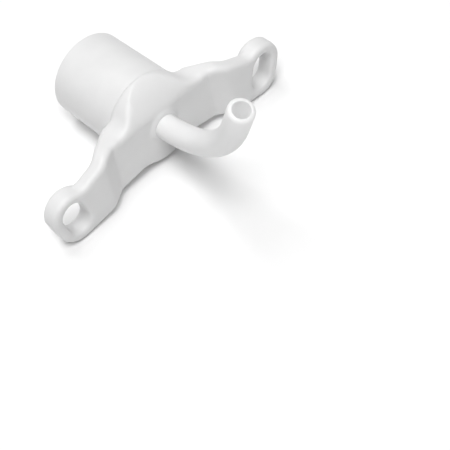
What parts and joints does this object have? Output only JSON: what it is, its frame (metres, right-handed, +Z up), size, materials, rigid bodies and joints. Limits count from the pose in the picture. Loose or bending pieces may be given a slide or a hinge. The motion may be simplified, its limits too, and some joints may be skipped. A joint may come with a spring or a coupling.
{
  "type": "tracheostomy tube",
  "caption": "Neonatal tracheostomy tube with a round breathing connector, a winged neck flange with tape slots and a short curved cannula.",
  "frame": {"origin": "middle of the object's footprint on the surface that it lies on", "axes": "+X across the wings, +Y from the connector towards the cannula, +Z up"},
  "size_m": [0.0518, 0.042, 0.0288],
  "materials": {
    "connector_pvc": "smooth white rigid moulding",
    "flange_pvc": "satin white soft moulding",
    "cannula_pvc": "smooth white extruded tube"
  },
  "bodies": {
    "root": {"connector": "connector_pvc", "neck_flange": "flange_pvc", "cannula": "cannula_pvc"}
  },
  "joints": []
}
